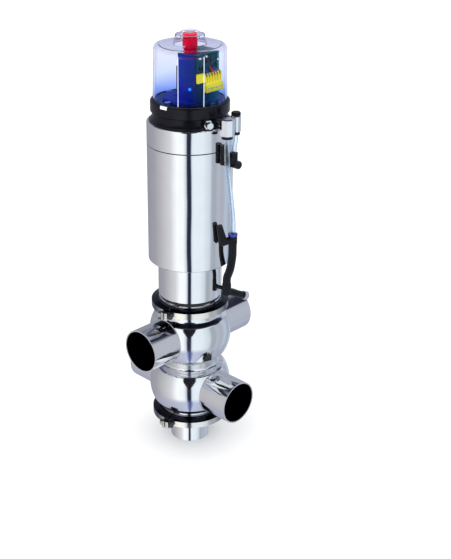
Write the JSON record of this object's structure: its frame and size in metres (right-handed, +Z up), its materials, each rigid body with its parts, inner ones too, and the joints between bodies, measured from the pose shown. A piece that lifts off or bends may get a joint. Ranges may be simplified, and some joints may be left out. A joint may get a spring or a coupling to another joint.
{
  "type": "three way valve",
  "caption": "Spring-closed pneumatic double-seat process valve with globe housings, weld stubs, polished actuator and clear-hooded control head.",
  "frame": {"origin": "centre of the lower end of the bottom outlet, on the valve axis", "axes": "+Z up along the valve axis, X along the upper line, Y along the lower line"},
  "size_m": [0.22, 0.22, 0.684],
  "materials": {
    "polished_steel": "mirror polished stainless steel",
    "satin_steel": "fine turned stainless steel",
    "black_plastic": "glossy black moulding",
    "black_fitting": "satin black moulding",
    "clear_plastic": "clear bluish polycarbonate",
    "red_plastic": "glossy",
    "blue_plastic": "glossy moulding",
    "board_green": "lacquered circuit board",
    "yellow_plastic": "moulded",
    "white_plastic": "moulded",
    "plated_brass": "nickel plated",
    "tube_nylon": "translucent air tube",
    "black_rubber": "elastomer seal",
    "bearing_plastic": "filled bearing plastic",
    "spring_steel": "drawn wire",
    "black_oxide": "black oxide"
  },
  "bodies": {
    "valve_body": {"actuator_bottom_cover": "polished_steel", "actuator_cylinder": "polished_steel", "actuator_top_cover": "polished_steel", "air_tube_front": "tube_nylon", "air_tube_rear": "tube_nylon", "cable_gland": "black_fitting", "circuit_board": "board_green", "clamp_bolts": "black_oxide", "clamp_nuts": "satin_steel", "collar_clip": "white_plastic", "coupling_nut": "plated_brass", "cylinder_seals": "black_rubber", "electronics_housing": "blue_plastic", "exhaust_nut": "plated_brass", "exhaust_silencer": "plated_brass", "flange_gaskets": "black_rubber", "front_elbow": "plated_brass", "guide_bushes": "bearing_plastic", "head_base": "black_plastic", "head_collar": "black_plastic", "head_screws": "satin_steel", "hood_seal": "black_rubber", "lantern": "polished_steel", "lip_seals": "black_rubber", "lower_clamp": "polished_steel", "lower_cover": "polished_steel", "lower_elbow": "black_fitting", "lower_elbow_ring": "blue_plastic", "lower_housing": "polished_steel", "lower_ports": "polished_steel", "main_spring": "spring_steel", "neck_elbow": "black_fitting", "partition_wall": "satin_steel", "pilot_valves": "black_fitting", "position_sensor": "white_plastic", "push_spring": "spring_steel", "rear_elbow": "plated_brass", "release_rings": "black_fitting", "rinse_hose": "black_fitting", "seam_elbow": "black_fitting", "seat_ring": "satin_steel", "terminal_block": "yellow_plastic", "throttle_knob": "black_fitting", "upper_clamp": "polished_steel", "upper_housing": "polished_steel", "upper_ports": "polished_steel"},
    "lower_closure": {"lower_plug": "satin_steel", "lower_plug_seal": "black_rubber", "push_piston": "satin_steel", "push_piston_seal": "black_rubber", "stem_nut": "satin_steel", "position_target": "plated_brass", "red_indicator": "red_plastic"},
    "upper_closure": {"upper_plug": "satin_steel", "upper_plug_seal": "black_rubber", "main_piston": "satin_steel", "main_piston_seal": "black_rubber", "piston_nut": "satin_steel"},
    "hood": {"clear_hood": "clear_plastic", "sight_dome": "clear_plastic"}
  },
  "joints": [
    {"name": "main_stroke", "type": "slide", "parent": "valve_body", "child": "lower_closure", "axis": [0, 0, -1], "range_m": [0, 0.028], "stiffness_N_per_m": 8000, "springref_m": -0.03, "deforming": ["push_spring", "main_spring"]},
    {"name": "gap_closing", "type": "slide", "parent": "lower_closure", "child": "upper_closure", "axis": [0, 0, -1], "range_m": [0, 0.005], "stiffness_N_per_m": 8000, "springref_m": -0.02},
    {"name": "hood_lift", "type": "slide", "parent": "valve_body", "child": "hood", "axis": [0, 0, 1], "range_m": [0, 0.12]}
  ]
}
